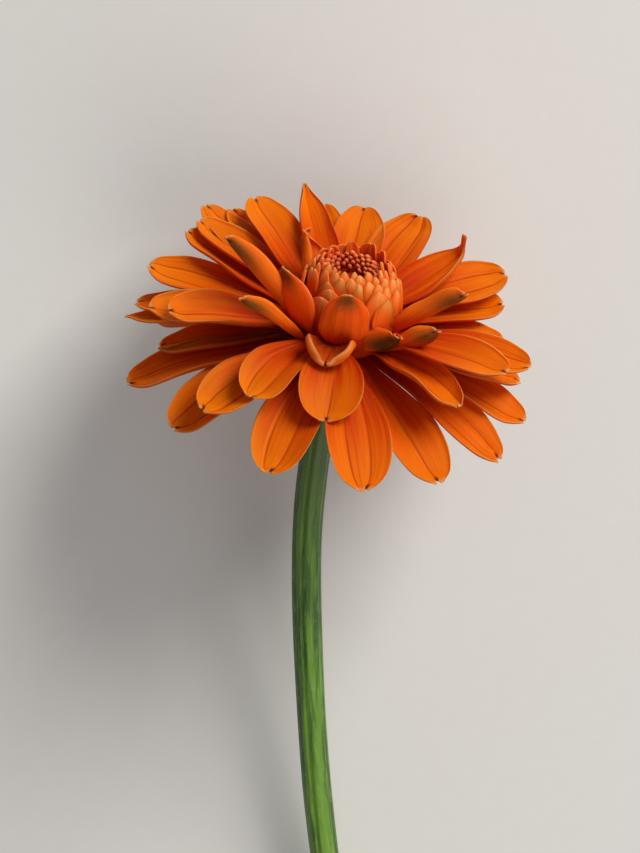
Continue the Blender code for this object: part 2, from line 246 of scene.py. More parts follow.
def make_piece(name, points, faces, marks, material):
    """A smooth object from points in millimetres, with named marks on its points."""
    mesh = bpy.data.meshes.new(name)
    mesh.from_pydata((points * MM).tolist(), [], faces)
    for mark, values in marks.items():
        attribute = mesh.attributes.new(mark, "FLOAT", "POINT")
        attribute.data.foreach_set("value", values)
    mesh.shade_smooth()
    mesh.materials.append(material)
    piece = bpy.data.objects.new(name, mesh)
    bpy.context.scene.collection.objects.link(piece)
    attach(piece, "root")
    return piece


def stem_skin():
    """Living stem skin: a waxy green with yellower streaks and a pale bloom of
    down, which catches the light at the stem's edges."""
    skin = new_material("waxy_stem_skin")
    along, round_x, round_y, cut = [
        node(skin, "ShaderNodeAttribute", {"attribute_name": mark}, "Fac")
        for mark in ("along", "round_x", "round_y", "cut")
    ]
    place = node(skin, "ShaderNodeCombineXYZ", {"X": round_x, "Y": round_y, "Z": along})
    patterns = []
    for (wide, long), detail, roughness in (
        (STREAKS_PER_MM, 3.0, 0.6),
        (PATCHES_PER_MM, 2.0, 0.5),
        (SPECKS_PER_MM, 2.0, 0.7),
    ):
        patterns.append(drawn_out(skin, place, (wide, wide, long), detail, roughness))
    streaks, patches, specks = patterns
    tone = linear("#3c6420")
    tone = overlay(skin, tone, "#6d9a2c", (patches, 0.42, 0.62, 1.0))
    tone = overlay(skin, tone, "#93b356", (streaks, 0.50, 0.72, 0.55))
    # Within 45 mm under the bloom the stem is painted greyer and darker: painted shadow of the bloom
    tone = overlay(skin, tone, "#46583a", (along, 45.0, 5.0, 0.75))
    tone = overlay(skin, tone, "#a7bd7e", (specks, 0.66, 0.78, 0.5))
    # The cut face is pale green pith
    tone = node(skin, "ShaderNodeMix", {
        "data_type": "RGBA", MIX_SHARE: cut, MIX_UNDER: tone, MIX_OVER: linear("#c9d59a"),
    }, MIX_RESULT)
    fibres = node(skin, "ShaderNodeBump", {"Height": streaks, "Strength": 0.35, "Distance": 0.2 * MM})
    shader = node(skin, "ShaderNodeBsdfPrincipled", {
        "Base Color": tone,
        "Roughness": 0.45,
        "IOR": 1.42,
        "Subsurface Weight": 0.15,
        "Subsurface Radius": (0.5, 1.0, 0.2),
        "Subsurface Scale": 0.8 * MM,
        "Sheen Weight": 0.35,
        "Sheen Roughness": 0.35,
        "Sheen Tint": linear("#dfe8cf"),
        "Normal": fibres,
    })
    node(skin, "ShaderNodeOutputMaterial", {"Surface": shader})
    return skin


def make_stem():
    """The ribbed rod, with its cut face and the neck's flat top."""
    angles = 2 * math.pi * np.arange(STEM_SIDES) / STEM_SIDES
    rings = []
    marks = {"along": [], "round_x": [], "round_y": [], "cut": []}
    length = 0.0
    before = stem_point(0.0)
    for i in range(STEM_RINGS + CUT_RINGS + 1):
        t = min(i / STEM_RINGS, 1.0)
        inset = 1 - max(i - STEM_RINGS, 0) / (CUT_RINGS + CUT_MIDDLE)
        along, side, up = stem_axes(t)
        centre = stem_point(t)
        length += float(np.linalg.norm(centre - before))
        before = centre
        radius = stem_radius(t, angles) * inset
        # The cut face is a shallow dish, as the soft pith shrinks
        sink = along * -CUT_DISH * ease(1 - inset, 0.0, 0.9)
        ring = side * (radius * np.cos(angles))[:, None] + up * (radius * np.sin(angles))[:, None]
        rings.append(centre + sink + ring)
        marks["along"] += [length] * STEM_SIDES
        marks["round_x"] += list(STEM_RADIUS * np.cos(angles) * inset)
        marks["round_y"] += list(STEM_RADIUS * np.sin(angles) * inset)
        marks["cut"] += [1.0 if i > STEM_RINGS else 0.0] * STEM_SIDES
    faces = []
    for i in range(STEM_RINGS + CUT_RINGS):
        for k in range(STEM_SIDES):
            a = i * STEM_SIDES + k
            b = i * STEM_SIDES + (k + 1) % STEM_SIDES
            faces.append((a, a + STEM_SIDES, b + STEM_SIDES, b))
    last = (STEM_RINGS + CUT_RINGS) * STEM_SIDES
    faces.append(tuple(range(STEM_SIDES)))
    faces.append(tuple(range(last, last + STEM_SIDES))[::-1])
    return make_piece("ribbed_stem", np.concatenate(rings), faces, marks, stem_skin())


def stem_down():
    """Plant hairs: clear colourless cells, which look whitish against the green."""
    down = new_material("plant_hair")
    spot = node(down, "ShaderNodeTexCoord", {}, "Object")
    shade = node(down, "ShaderNodeTexNoise", {"Vector": spot, "Scale": HAIR_SHADES_PER_MM / MM})
    tone = node(down, "ShaderNodeMix", {
        "data_type": "RGBA",
        MIX_SHARE: shade,
        MIX_UNDER: linear("#a9bd8b"),
        MIX_OVER: linear("#dfe6cf"),
    }, MIX_RESULT)
    shader = node(down, "ShaderNodeBsdfPrincipled", {
        "Base Color": tone,
        "Roughness": 0.4,
        "IOR": 1.45,
        "Subsurface Weight": 0.3,
        "Subsurface Scale": 0.4 * MM,
    })
    node(down, "ShaderNodeOutputMaterial", {"Surface": shader})
    return down


def make_hairs():
    """Short hairs on the stem, each a slim three-sided cone bent along it."""
    points = []
    faces = []
    for _ in range(HAIRS):
        t = between(*HAIR_SPAN)
        angle = between(0, 2 * math.pi)
        along, side, up = stem_axes(t)
        out = side * math.cos(angle) + up * math.sin(angle)
        round_it = np.cross(along, out)
        root = stem_point(t) + out * (stem_radius(t, angle) - HAIR_SINK)
        reach = blend(*HAIR_LENGTHS, float(draw.random()) ** 2)
        lean = along * between(*HAIR_LEANS_ALONG) + round_it * between(*HAIR_LEANS_ROUND)
        middle = root + (out + lean * HAIR_BEND) * reach / 2
        tip = root + (out * HAIR_RISE + lean) * reach
        # The table leaves no room for this one
        if tip[2] < 0:
            continue
        first = len(points)
        for centre, radius in ((root, HAIR_RADIUS), (middle, HAIR_RADIUS * HAIR_TAPER)):
            for k in range(3):
                turn = 2 * math.pi * k / 3
                points.append(centre + (along * math.cos(turn) + round_it * math.sin(turn)) * radius)
        points.append(tip)
        for k in range(3):
            after = (k + 1) % 3
            faces.append((first + k, first + 3 + k, first + 3 + after, first + after))
            faces.append((first + 3 + k, first + 6, first + 3 + after))
        faces.append((first, first + 1, first + 2))
    return make_piece("stem_hairs", np.array(points), faces, {}, stem_down())


stem = make_stem()
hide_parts("stem")
hairs = make_hairs()

# Involucre
# The cup under the bloom: the stem's end widens into it, and three rows of green
# bracts grow from it, each a leathery scale with a thin, dry, brown margin.
CUP_SIDES = 72
CUP_STEPS = 6
# The cup's profile, by height and radius
CUP = ((-9.2, 2.9), (-9.0, 3.2), (-7.6, 4.6), (-5.6, 6.2), (-3.6, 7.1), (-1.6, 7.0), (-1.4, 6.2))
# Each row's count, its bracts' root and tip by radius and height, and their width
BRACT_ROWS = (
    (9, (4.0, -8.2), (6.9, -5.1), 3.6),
    (11, (5.4, -6.8), (8.1, -3.5), 3.6),
    (13, (6.4, -5.0), (8.3, -2.4), 3.4),
)
BRACT_BEND = 30
BRACT_CUP = 35
BRACT_THICKNESS = 0.45
BRACT_POINTS = (22, 13)
BRACT_END_WIDTH = 0.08
BRACT_FOOT_WIDTH = 0.72
KEEL_HEIGHT = 0.22
KEEL_WIDTH = 0.22
CRISP_EDGE = 0.12
# A bract of mean size, and the width and length of its veins
BRACT_MEAN_WIDTH = 3.6
BRACT_MEAN_LENGTH = 4.2
BRACT_VEINS = (0.2, 3.0)
BRACT_PATTERN_SHIFT = 9.0
# A bract's or floret's cupping is less at its claw, full from FULL_CUP of its length
# on, and never tighter than the least radius.  A hook at its end starts at HOOK_FROM.
CLAW_CUP = 0.35
FULL_CUP = 0.6
LEAST_CURL_RADIUS = 1.1
HOOK_FROM = 0.84
# Its points crowd to its end and sides, its notches reach as far down as the power
# of END_REACH lets them, and it thins at its rim and thickens to its claw
ROW_CROWDING = 1.3
COLUMN_CROWDING = 0.25
END_REACH = 10
SIDE_THINNING = 8
END_THINNING = 30
CLAW_THICKENING = 0.8
CLAW_THICK_TO = 0.3
# A mark beyond the blade's sides, for a sheet without a notch
NO_NOTCH = 2.0


def turned(azimuth, radius, height):
    """Points of the head by azimuth, radius and height over the disc plane."""
    angle = np.radians(azimuth)
    return np.stack((radius * np.sin(angle), -radius * np.cos(angle), height + 0 * angle), -1)


def arc_between(root, tip, bend, u):
    """Radius, height and slope at u on an arc that turns by bend degrees."""
    run = tip[0] - root[0]
    climb = tip[1] - root[1]
    turn = math.radians(bend)
    start = math.atan2(climb, run) - turn / 2
    radius = math.hypot(run, climb) / 2 / math.sin(turn / 2)
    now = start + turn * u
    return (
        root[0] + radius * (np.sin(now) - math.sin(start)),
        root[1] - radius * (np.cos(now) - math.cos(start)),
        now,
    )


def sheet_middle(place, shape, s, v):
    """The middle of a sheet at s along it and v across it: points, normals, ribs.

    It runs out from its root to its tip on one arc, is curled across that on
    another, and turns about its length by the twist.
    """
    azimuth, root, tip, width, bend, cup, twist = place
    u = s + s ** END_REACH * shape["end"](v)
    angle = math.radians(azimuth)
    outward = np.array((math.sin(angle), -math.cos(angle), 0.0))
    side = np.array((math.cos(angle), math.sin(angle), 0.0))
    axis = np.array((0.0, 0.0, 1.0))
    radius, height, slope = arc_between(root, tip, bend, u)
    half = width / 2 * shape["width"](s) + 0 * v
    fold = math.radians(cup) * np.minimum(1.0, blend(CLAW_CUP, 1.0, s / FULL_CUP))
    fold = np.minimum(fold, half / LEAST_CURL_RADIUS)
    slope = slope[..., None]
    roll = (math.radians(twist) * s + 0 * v)[..., None]
    flat = axis * np.cos(slope) - outward * np.sin(slope)
    across = side * np.cos(roll) + flat * np.sin(roll)
    upper = flat * np.cos(roll) - side * np.sin(roll)
    curl = (fold * v)[..., None]
    reach = (half / fold)[..., None]
    points = outward * radius[..., None] + axis * height[..., None]
    points = points + across * (reach * np.sin(curl)) + upper * (reach * (1 - np.cos(curl)))
    points = points + side * (shape["sweep"] * s ** 2 + 0 * v)[..., None]
    normal = upper * np.cos(curl) - across * np.sin(curl)
    rise, rib = shape["relief"](s, v)
    hook = shape.get("hook", 0.0) * ease(s, HOOK_FROM, 1.0) ** 2 + 0 * v
    points = points + normal * rise[..., None] + upper * hook[..., None]
    return points, normal, rib


def sheet_of(place, shape, rows, columns):
    """A floret or bract as a thin closed sheet: points, faces and marks.

    Its upper and lower skins share their edge, where the sheet thins out.  The
    shape gives its width along it, its thickness, and how it is creased.
    """
    x = np.linspace(0, 1, rows)
    y = np.linspace(-1, 1, columns)
    s = (1 - (1 - x) ** ROW_CROWDING)[:, None]
    v = (y * (1 + COLUMN_CROWDING * (1 - y * y)))[None, :]
    middle, normal, rib = sheet_middle(place, shape, s, v)
    thick = shape["thickness"] * (1 - v ** SIDE_THINNING) ** 0.5 * (1 - s ** END_THINNING) ** 0.5
    thick = thick * (1 + CLAW_THICKENING * (1 - ease(s, 0, CLAW_THICK_TO)))
    upper_skin = (middle + normal * thick[..., None] / 2).reshape(-1, 3)
    lower_skin = (middle - normal * thick[..., None] / 2).reshape(-1, 3)
    number = np.arange(rows * columns).reshape(rows, columns)
    inner = number[1:-1, 1:-1]
    below = number.copy()
    below[1:-1, 1:-1] = rows * columns + np.arange(inner.size).reshape(inner.shape)
    edge = np.ones((rows, columns), bool)
    edge[1:-1, 1:-1] = False
    edge = edge.reshape(-1)
    upper_skin[edge] = (upper_skin[edge] + lower_skin[edge]) / 2
    faces = []
    for grid, flip in ((number, 1), (below, -1)):
        corners = np.stack((grid[:-1, :-1], grid[1:, :-1], grid[1:, 1:], grid[:-1, 1:]), -1)
        faces.append(corners.reshape(-1, 4)[:, ::flip])
    keep = inner.reshape(-1)
    spread = {
        "along": (s + 0 * v).reshape(-1),
        "across": (v + 0 * s).reshape(-1),
        "rib": rib.reshape(-1),
    }
    marks = {mark: np.concatenate((values, values[keep])) for mark, values in spread.items()}
    marks["underside"] = np.concatenate((np.where(edge, 0.5, 0.0), np.ones(len(keep))))
    even = {
        "own": shape["own"],
        "groove_at": shape["groove_at"],
        "patch": shape.get("patch", 1.0),
        "notch": shape.get("notch", NO_NOTCH),
    }
    for mark, value in even.items():
        marks[mark] = np.full(len(edge) + len(keep), value)
    return np.concatenate((upper_skin, lower_skin[keep])), np.concatenate(faces), marks


def join_sheets(name, sheets, material):
    """One piece from many sheets, laid down with the head."""
    points = []
    faces = []
    marks = {}
    count = 0
    for own_points, own_faces, own_marks in sheets:
        points.append(own_points)
        faces.append(own_faces + count)
        count += len(own_points)
        for mark, values in own_marks.items():
            marks.setdefault(mark, []).append(values)
    marks = {mark: np.concatenate(values) for mark, values in marks.items()}
    laid = place_head(np.concatenate(points))
    return make_piece(name, laid, np.concatenate(faces).tolist(), marks, material)


def turned_points(profile, sides, steps):
    """Points and faces of a smooth solid turned about the head's axis."""
    profile = np.array(profile, float)
    spots = np.linspace(0, len(profile) - 1, (len(profile) - 1) * steps + 1)
    height = np.interp(spots, range(len(profile)), profile[:, 0])
    radius = np.interp(spots, range(len(profile)), profile[:, 1])
    for _ in range(steps):
        height[1:-1] = (height[:-2] + 2 * height[1:-1] + height[2:]) / 4
        radius[1:-1] = (radius[:-2] + 2 * radius[1:-1] + radius[2:]) / 4
    azimuth = 360 * np.arange(sides) / sides
    points = np.concatenate([turned(azimuth, r, h) for h, r in zip(height, radius)])
    faces = []
    for i in range(len(height) - 1):
        for k in range(sides):
            a = i * sides + k
            b = i * sides + (k + 1) % sides
            faces.append((a, b, b + sides, a + sides))
    last = (len(height) - 1) * sides
    faces.append(tuple(range(sides))[::-1])
    faces.append(tuple(range(last, last + sides)))
    return points, faces


def bract_width(s):
    """A bract's share of its width: broad at the foot, with a blunt point."""
    foot = blend(BRACT_FOOT_WIDTH, 1.0, ease(s, 0.0, 0.4))
    return blend(BRACT_END_WIDTH, 1.0, foot * (1 - s ** 2.4) ** 0.8)


def bract_relief(s, v):
    """A keel down the bract's back and a crisp edge."""
    keel = -KEEL_HEIGHT * np.exp(-(v / KEEL_WIDTH) ** 2) * ease(s, 0.0, 0.3)
    return keel + CRISP_EDGE * np.abs(v) ** 6, v + 0 * s


def off_groove(material):
    """How far a point lies off a floret's grooves, or off a bract's keel."""
    rib, groove_at = [
        node(material, "ShaderNodeAttribute", {"attribute_name": mark}, "Fac")
        for mark in ("rib", "groove_at")
    ]
    side = node(material, "ShaderNodeMath", {"operation": "ABSOLUTE", 0: rib})
    off = node(material, "ShaderNodeMath", {"operation": "SUBTRACT", 0: side, 1: groove_at})
    return node(material, "ShaderNodeMath", {"operation": "ABSOLUTE", 0: off})


def bract_leather():
    """Bract tissue: matt grey-green, with fine veins, a paler keel and a brown,
    papery margin that shows where the scales overlap."""
    leather = new_material("bract_tissue")
    along, across, own = [
        node(leather, "ShaderNodeAttribute", {"attribute_name": mark}, "Fac")
        for mark in ("along", "across", "own")
    ]
    place = node(leather, "ShaderNodeCombineXYZ", {"X": across, "Y": along, "Z": own})
    wide, long = BRACT_VEINS
    scale = (BRACT_MEAN_WIDTH / 2 / wide, BRACT_MEAN_LENGTH / long, BRACT_PATTERN_SHIFT)
    veins = drawn_out(leather, place, scale, 3.0, 0.5)
    tone = node(leather, "ShaderNodeMix", {
        "data_type": "RGBA",
        MIX_SHARE: veins,
        MIX_UNDER: linear("#35521d"),
        MIX_OVER: linear("#5b7a33"),
    }, MIX_RESULT)
    tone = overlay(leather, tone, "#7f9a55", (off_groove(leather), 0.2, 0.0, 1.0))
    side = node(leather, "ShaderNodeMath", {"operation": "ABSOLUTE", 0: across})
    margin = node(leather, "ShaderNodeMath", {
        "operation": "MAXIMUM",
        0: cover(leather, (side, 0.78, 0.97, 1.0)),
        1: cover(leather, (along, 0.90, 0.99, 1.0)),
    })
    tone = node(leather, "ShaderNodeMix", {
        "data_type": "RGBA", MIX_SHARE: margin, MIX_UNDER: tone, MIX_OVER: linear("#8a6a3a"),
    }, MIX_RESULT)
    relief = node(leather, "ShaderNodeBump", {"Height": veins, "Strength": 0.5, "Distance": 0.2 * MM})
    shader = node(leather, "ShaderNodeBsdfPrincipled", {
        "Base Color": tone,
        "Roughness": 0.6,
        "IOR": 1.42,
        "Subsurface Weight": 0.1,
        "Subsurface Scale": 0.6 * MM,
        "Sheen Weight": 0.3,
        "Sheen Roughness": 0.4,
        "Normal": relief,
    })
    node(leather, "ShaderNodeOutputMaterial", {"Surface": shader})
    return leather


def make_involucre():
    """The cup and its rows of bracts, as two pieces."""
    sheets = []
    for row, (count, root, tip, width) in enumerate(BRACT_ROWS):
        for k in range(count):
            azimuth = 360 * (k + row / len(BRACT_ROWS)) / count + between(-3, 3)
            shape = {
                "width": bract_width,
                "thickness": BRACT_THICKNESS,
                "end": lambda v: 0 * v,
                "relief": bract_relief,
                "sweep": between(-0.2, 0.2),
                "own": float(draw.random()),
                "groove_at": 0.0,
            }
            own_width = width * between(0.92, 1.06)
            place = (azimuth, root, tip, own_width, BRACT_BEND, BRACT_CUP, 0)
            sheets.append(sheet_of(place, shape, *BRACT_POINTS))
    points, faces = turned_points(CUP, CUP_SIDES, CUP_STEPS)
    blank = np.zeros(len(points))
    marks = {"along": blank, "across": blank, "own": blank, "rib": blank, "groove_at": blank + 1}
    green = bract_leather()
    bracts = join_sheets("bracts", sheets, green)
    under = make_piece("involucre_cup", place_head(points), faces, marks, green)
    return bracts, under


for piece in make_involucre():
    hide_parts("involucre")

# Receptacle
# The fleshy end of the stem inside the bloom, which every floret grows from.  It
# fills the bud; its dark red, painted shade, shows only in the gaps between florets.
BUD_SIDE = 1.9
BUD_LEAN = 0.12
BUD_HEIGHT = 5.4
BUD_RADIUS = 9.2
BUD_RISE = 9.2
# The core's profile, by height and radius, follows the bud's egg between foot and dish
CORE_FOOT = ((-1.2, 5.2), (-1.0, 6.0), (0.0, 7.0))
CORE_DEPTH = -0.6
CORE_RISES = (-28, -16, -5, 15, 33, 45)
CORE_DISH = ((12.0, 4.6), (11.9, 2.4), (11.8, 0.6))
CORE_SIDES = 72
CORE_STEPS = 5
# The core's foot stands on the head's axis up to the first height, and the core
# stands wholly under the bud from the second
CORE_SHIFT = (-1.0, 2.0)
MOTTLES_PER_MM = 0.7


def bud_point(rise, lift):
    """Radius and height at an angle on the bud's egg, lifted off it."""
    angle = math.radians(rise)
    return (
        (BUD_RADIUS + lift) * math.cos(angle),
        BUD_HEIGHT + (BUD_RISE + lift) * math.sin(angle),
    )


def beside(points):
    """Points of the bud, moved to where it stands beside the head's axis."""
    moved = points.copy()
    moved[:, 0] += BUD_SIDE - BUD_LEAN * np.maximum(0.0, points[:, 2] - BUD_HEIGHT)
    return moved


def receptacle_flesh():
    """Soft plant tissue with little shine, painted a deep red as shade for the gaps between florets."""
    flesh = new_material("receptacle_flesh")
    spot = node(flesh, "ShaderNodeTexCoord", {}, "Object")
    mottle = node(flesh, "ShaderNodeTexNoise", {"Vector": spot, "Scale": MOTTLES_PER_MM / MM, "Detail": 3.0})
    # The two deep reds are painted shade for the gaps between the florets
    tone = node(flesh, "ShaderNodeMix", {
        "data_type": "RGBA",
        MIX_SHARE: mottle,
        MIX_UNDER: linear("#8c1602"),
        MIX_OVER: linear("#c23408"),
    }, MIX_RESULT)
    relief = node(flesh, "ShaderNodeBump", {"Height": mottle, "Strength": 0.5, "Distance": 0.2 * MM})
    shader = node(flesh, "ShaderNodeBsdfPrincipled", {
        "Base Color": tone,
        "Roughness": 0.7,
        "IOR": 1.4,
        "Specular IOR Level": 0.1,
        "Normal": relief,
    })
    node(flesh, "ShaderNodeOutputMaterial", {"Surface": shader})
    return flesh


def make_receptacle():
    """The egg-shaped core, with a shallow dish on top."""
    profile = list(CORE_FOOT)
    for rise in CORE_RISES:
        radius, height = bud_point(rise, CORE_DEPTH)
        profile.append((height, radius))
    profile += CORE_DISH
    points, faces = turned_points(profile, CORE_SIDES, CORE_STEPS)
    foot = 1 - ease(points[:, 2:], *CORE_SHIFT)
    points = blend(beside(points), points, foot)
    return make_piece("receptacle", place_head(points), faces, {}, receptacle_flesh())


receptacle = make_receptacle()
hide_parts("ray_florets")

# Outer rays
# The lowest whorl of petals, long and drooping, with two on the underside that the
# bloom leans on.  Each is one thin floret, narrow at its claw, with three lobes
# along it and a notched end.
ROOT_DEPTH = 1.0
CLAW_WIDTH = 0.30
NOTCH_WIDTH = 0.22
END_ROUNDING = 0.006
# Where the rays of each tier leave the receptacle, by radius and height
TIERS = ((6.2, -0.4), (6.4, 0.6), (6.5, 1.6), (6.5, 2.6), (6.4, 3.6), (6.2, 4.6))
# Most rays have two grooves, at a third of the half width, and the rest have one
THREE_LOBED = 0.6
GROOVE_AT = 1 / 3
LOBE_ROUNDNESS = 0.6
LOBE_MEAN = 0.75
# The relief grows over the first of these stretches of the length, and loses a share
# of its height over the second
RELIEF_GROWS = (0.06, 0.42)
RELIEF_SHRINKS = (0.92, 1.0)
RELIEF_LOSS = 0.35
# How far the waves of the two edges are apart, in radians either way, where the edge
# rolls up, and how the whole blade sways
EDGE_TURN = 1.3
EDGE_ROLL = (0.80, 1.0)
SWAY_HEIGHT = 0.10
SWAY_BEAT = 1.7
RAY_THICKNESS = 0.42
RAY_ROWS = 50
RAY_COLUMNS = 27
# A ray of mean size, and on it the width and length of its veins, its broad streaks
# and its fine lines, with the detail and roughness of their grain
RAY_MEAN_WIDTH = 8.4
RAY_MEAN_LENGTH = 28.8
RAY_VEINS = (0.6, 32.0, 4.0, 0.62)
RAY_STREAKS = (1.4, 72.0, 3.0, 0.5)
RAY_LINES = (0.175, 18.0, 2.0, 0.5)
RAY_PATTERN_SHIFT = 60.0
# Domed cells: ten to a millimetre on the real petal, drawn coarser to show
CELLS_PER_MM = 4.5

# Azimuth from the upper side, rise of the tip over the disc plane, reach from the
# bloom's centre, width, bend along it, cupping across it, tier and twist
OUTER_RAYS = (
    (-81, -19, 37.5, 10.5, -15, 45, 0, -10),
    (-60, -26, 33.0, 12.0, -20, 35, 0, -15),
    (-16, -25, 31.5, 11.5, -35, 25, 0, 0),
    (15, -20, 34.5, 12.0, -18, 25, 0, 0),
    (40, -22, 34.0, 11.0, -18, 25, 0, 10),
    (63, -19, 36.0, 10.5, -25, 40, 0, 10),
    (79, -13, 36.0, 10.0, -20, 40, 0, 10),
    (86, -5, 33.0, 9.0, -15, 35, 1, 5),
    (-90, -13, 31.5, 9.5, -15, 30, 1, -5),
    (98, -11, 34.5, 8.5, -18, 30, 0, 0),
    (112, -15, 35.5, 9.0, -20, 30, 0, 0),
    (126, -17, 35.5, 9.0, -20, 30, 0, 0),
    (139, -19, 35.0, 9.0, -20, 30, 0, 0),
    (165, -18, 31.5, 9.0, -22, 30, 0, 0),
    (179, -20, 30.5, 9.0, -25, 30, 0, 0),
    (-166, -18, 31.5, 9.0, -22, 30, 0, 0),
    (-139, -19, 35.0, 9.0, -20, 30, 0, 0),
    (-126, -17, 35.5, 9.0, -20, 30, 0, 0),
    (-112, -14, 35.5, 9.0, -18, 30, 0, 0),
)
RESTING_AZIMUTHS = (152, -152)
RESTING_RISE = -20
RESTING_WIDTH = 9.5
RESTING_BEND = -20
RESTING_CUP = 30
RESTING_LEAST_WIDTH = 0.3
RESTING_STEPS = 5
RESTING_POINTS = (9, 7)
# Where a plain ray's tip lies when the modelled one just meets the surface
LEVEL_HEIGHT = -0.17


def blade_width(widest_at, claw, end, blunt, power, point=1.0):
    """A ray's share of its full width along it: claw, widest place and end.

    From the widest place it tapers to the point.  The taper is rounder with a
    greater bluntness and a lesser power.
    """

    def width(s):
        t = np.clip((s - widest_at) / (point - widest_at), 0, 1)
        lower = blend(claw, 1.0, ease(s, 0.0, widest_at))
        upper = np.maximum(end, (1 - t ** blunt) ** power)
        return np.where(s < widest_at, lower, upper)

    return width


ray_width = blade_width(widest_at=0.64, claw=CLAW_WIDTH, end=0.22, blunt=2.5, power=0.5)


def notched_end(depth, spots):
    """How far the end stands back at v across it, as a share of the length."""

    def end(v):
        cut = sum(np.exp(-((v - spot) / NOTCH_WIDTH) ** 2) for spot in spots)
        return -depth * cut - END_ROUNDING * v ** 2

    return end


def ray_relief(depth, groove_at, shift, ruffle, beat, phase, curl):
    """A ray's modelling: lobes parted by grooves, and a wavy, rolled edge."""

    def relief(s, v):
        w = v + shift * (1 - v ** 2)
        if groove_at:
            arches = np.abs(np.cos(math.pi / 2 * w / groove_at))
        else:
            arches = np.abs(np.sin(math.pi * w))
        window = ease(s, *RELIEF_GROWS) * (1 - RELIEF_LOSS * ease(s, *RELIEF_SHRINKS))
        lobes = depth * (arches ** LOBE_ROUNDNESS - LOBE_MEAN) * (1 - v ** 10)
        wave = ruffle * np.sin(2 * math.pi * (beat * s + phase) + EDGE_TURN * np.sign(v)) * v ** 2
        edge = curl * ease(np.abs(v), *EDGE_ROLL) ** 2
        sway = SWAY_HEIGHT * np.sin(2 * math.pi * (SWAY_BEAT * s + phase))
        return (lobes + wave + edge + sway) * window, w + 0 * s

    return relief


def resting_ray(azimuth):
    """A ray long enough for its tip just to meet the surface."""
    reach = HEAD_CENTRE[2]
    level = {
        "width": lambda s: np.maximum(RESTING_LEAST_WIDTH, ray_width(s)),
        "thickness": 0.0,
        "end": lambda v: 0 * v,
        "relief": lambda s, v: (0 * s * v, 0 * s * v),
        "sweep": 0.0,
        "own": 0.0,
        "groove_at": 0.0,
    }
    for _ in range(RESTING_STEPS):
        ray = (azimuth, RESTING_RISE, reach, RESTING_WIDTH, RESTING_BEND, RESTING_CUP, 0, 0)
        points = place_head(sheet_of(ray_place(*ray), level, *RESTING_POINTS)[0])
        reach += float(points[:, 2].min()) - LEVEL_HEIGHT
    return ray


def ray_place(azimuth, rise, reach, width, bend, cup, tier, twist):
    """A spread ray's place: azimuth, root, tip, width, bend, cup and twist."""
    radius, height = TIERS[tier]
    angle = math.radians(rise)
    tip = (reach * math.cos(angle), reach * math.sin(angle))
    return azimuth, (radius - ROOT_DEPTH, height), tip, width, bend, cup, twist


def ray_sheets(rays, depth=0.34, ruffle=0.22, hook=0.8, curl=0.30, notch=0.016, width=ray_width,
               columns=RAY_COLUMNS, thickness=RAY_THICKNESS):
    """The sheets of a whorl, each ray a little different from its neighbours.

    Depth, ruffle, hook and curl are heights in millimetres, and the notch is a share
    of the length.
    """
    sheets = []
    for ray in rays:
        groove_at = GROOVE_AT if draw.random() < THREE_LOBED else 0.0
        spot = float(draw.choice((-groove_at, groove_at))) + between(-0.1, 0.1)
        shape = {
            "width": width,
            "thickness": thickness,
            "end": notched_end(notch * between(0.6, 1.5), (spot,)),
            "notch": spot if notch else NO_NOTCH,
            "groove_at": groove_at,
            "hook": hook * between(0.8, 1.2),
            "relief": ray_relief(
                depth=depth * between(0.7, 1.3),
                groove_at=groove_at,
                shift=between(-0.08, 0.08),
                ruffle=ruffle * between(0.5, 1.4),
                beat=between(0.8, 2.2),
                phase=float(draw.random()),
                curl=curl * between(0.6, 1.4),
            ),
            "sweep": between(-0.6, 0.6),
            "own": float(draw.random()),
        }
        sheets.append(sheet_of(ray_place(*ray), shape, RAY_ROWS, columns))
    return sheets


